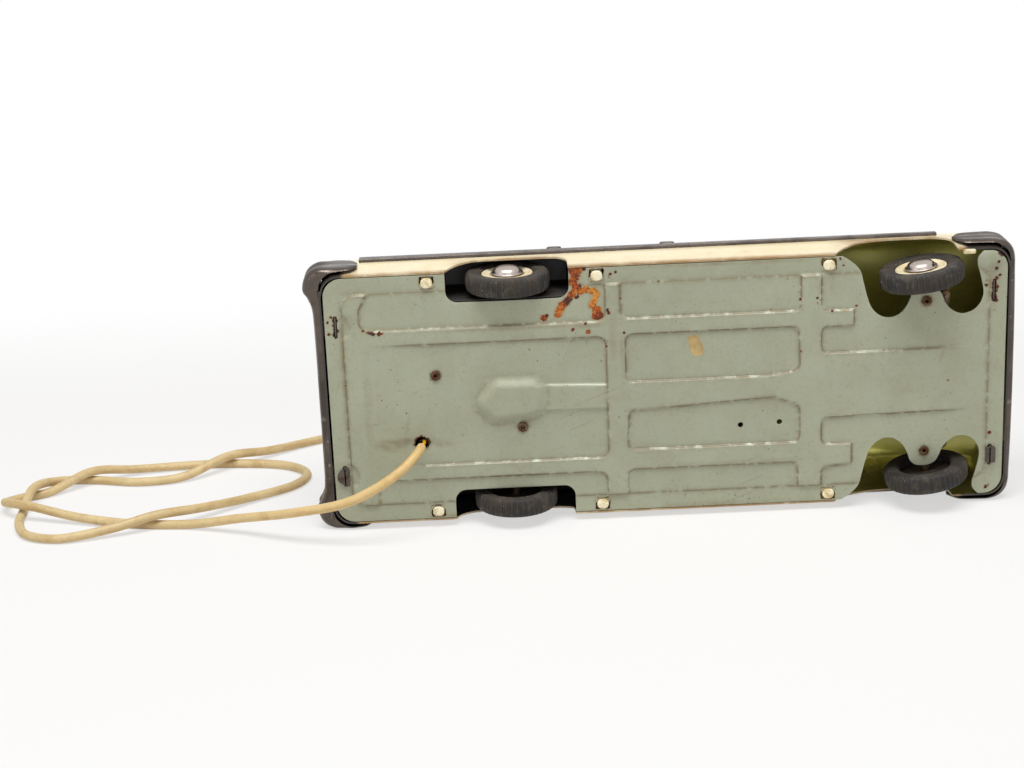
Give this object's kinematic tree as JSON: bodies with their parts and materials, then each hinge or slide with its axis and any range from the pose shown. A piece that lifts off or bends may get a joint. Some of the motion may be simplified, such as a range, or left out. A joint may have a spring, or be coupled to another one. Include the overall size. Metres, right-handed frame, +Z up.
{
  "type": "tin toy car with a cable handset",
  "caption": "Pressed tinplate toy saloon lying on its flank, underside out, with steered front wheels and a long cable to a small battery handset.",
  "frame": {"origin": "outer face of the left trim strip, half way along the car and at mid height of the strip: the flank that the car lies on", "axes": "+X towards the nose, +Z up, which is the car's right side, +Y towards its roof; the underside faces -Y"},
  "size_m": [0.4524, 0.1805, 0.118],
  "materials": {
    "base_paint": "satin grey-green lacquer",
    "body_paint": "cream gloss enamel",
    "plating": "darkened plating",
    "steel": "dull steel",
    "brass": "dull brass",
    "tyre": "matte rubber",
    "disc_paint": "cream gloss enamel",
    "chrome": "polished",
    "black_paint": "satin black",
    "seat_paint": "satin red",
    "window": "clear plastic sheet",
    "red_lens": "clear red gloss",
    "clear_lens": "milky gloss",
    "cord_plastic": "satin soft plastic",
    "yellow_core": "satin",
    "dark_core": "satin",
    "handset_plastic": "satin cream",
    "knob_plastic": "satin brown",
    "cell_wrap": "satin blue"
  },
  "bodies": {
    "car": {"base_plate": "base_paint", "body_shell": "body_paint", "window_insert": "window", "front_bumper": "plating", "rear_bumper": "plating", "trim_strip_right": "plating", "trim_strip_left": "plating", "door_handle_rear_right": "plating", "door_handle_rear_left": "plating", "door_handle_front_right": "plating", "door_handle_front_left": "plating", "headlamp_right": "clear_lens", "headlamp_left": "clear_lens", "tail_lamp_right": "red_lens", "tail_lamp_left": "red_lens", "grille": "chrome", "seat_insert": "seat_paint", "steering_wheel": "handset_plastic", "wheel_well_right": "black_paint", "wheel_well_left": "black_paint", "kingpin_right": "steel", "kingpin_left": "steel", "front_bridge": "steel", "steering_magnet": "brass", "motor": "steel", "motor_bracket": "steel", "bracket_rivet_1": "steel", "bracket_rivet_2": "steel", "cord": "cord_plastic", "lead_core_yellow": "yellow_core", "lead_core_dark": "dark_core", "handset_tray": "handset_plastic", "handset_cover": "handset_plastic", "battery_1": "cell_wrap", "battery_2": "cell_wrap", "contact_front": "brass", "contact_rear": "brass", "handset_screw": "steel", "cord_gland": "knob_plastic"},
    "rear_wheels": {"rear_axle": "steel", "axle_gear": "brass", "tyre_rear_right": "tyre", "tyre_rear_left": "tyre", "wheel_disc_rear_right": "disc_paint", "wheel_disc_rear_left": "disc_paint", "hub_cap_rear_right": "chrome", "hub_cap_rear_left": "chrome"},
    "pinion": {"motor_pinion": "brass"},
    "knuckle_right": {"knuckle_right": "steel"},
    "knuckle_left": {"knuckle_left": "steel"},
    "front_wheel_right": {"tyre_front_right": "tyre", "wheel_disc_front_right": "disc_paint", "hub_cap_front_right": "chrome"},
    "front_wheel_left": {"tyre_front_left": "tyre", "wheel_disc_front_left": "disc_paint", "hub_cap_front_left": "chrome"},
    "tie_rod": {"tie_rod": "steel"},
    "drive_slider": {"drive_slider": "knob_plastic"},
    "steering_knob": {"steering_knob": "knob_plastic"}
  },
  "joints": [
    {"name": "rear_axle_spin", "type": "hinge", "parent": "car", "child": "rear_wheels", "pos_m": [-0.0649, -0.0084, 0.059], "axis": [0, 0, 1], "continuous": true},
    {"name": "pinion_spin", "type": "hinge", "parent": "car", "child": "pinion", "pos_m": [-0.05624, 0.00026, 0.059], "axis": [0, 0, 1], "continuous": true},
    {"name": "steer_right", "type": "hinge", "parent": "car", "child": "knuckle_right", "pos_m": [0.1131, -0.0138, 0.0927], "axis": [0, -1, 0], "range_deg": [-28.5, 11.5]},
    {"name": "steer_left", "type": "hinge", "parent": "car", "child": "knuckle_left", "pos_m": [0.1131, -0.0138, 0.0253], "axis": [0, -1, 0], "range_deg": [-28.5, 11.5]},
    {"name": "tie_rod_slide", "type": "slide", "parent": "car", "child": "tie_rod", "axis": [0, 0, 1], "range_m": [-0.00437, 0.00176]},
    {"name": "front_wheel_right_spin", "type": "hinge", "parent": "knuckle_right", "child": "front_wheel_right", "pos_m": [0.1131, -0.0138, 0.0927], "axis": [-0.1478, 0, 0.989], "continuous": true},
    {"name": "front_wheel_left_spin", "type": "hinge", "parent": "knuckle_left", "child": "front_wheel_left", "pos_m": [0.1131, -0.0138, 0.0253], "axis": [-0.1478, 0, 0.989], "continuous": true},
    {"name": "drive_slide", "type": "slide", "parent": "car", "child": "drive_slider", "axis": [1, 0, 0], "range_m": [-0.004, 0.004], "stiffness_N_per_m": 150},
    {"name": "knob_turn", "type": "hinge", "parent": "car", "child": "steering_knob", "pos_m": [0.006, 0.1194, 0.02], "axis": [0, 0, 1], "range_deg": [-60, 60], "stiffness_Nm_per_rad": 0.02}
  ],
  "couplings": [
    {"joint": "pinion_spin", "follows": "rear_axle_spin", "ratio": -2.1818},
    {"joint": "steer_right", "follows": "tie_rod_slide", "rad_per_m": 113.64},
    {"joint": "steer_left", "follows": "tie_rod_slide", "rad_per_m": 113.64}
  ]
}
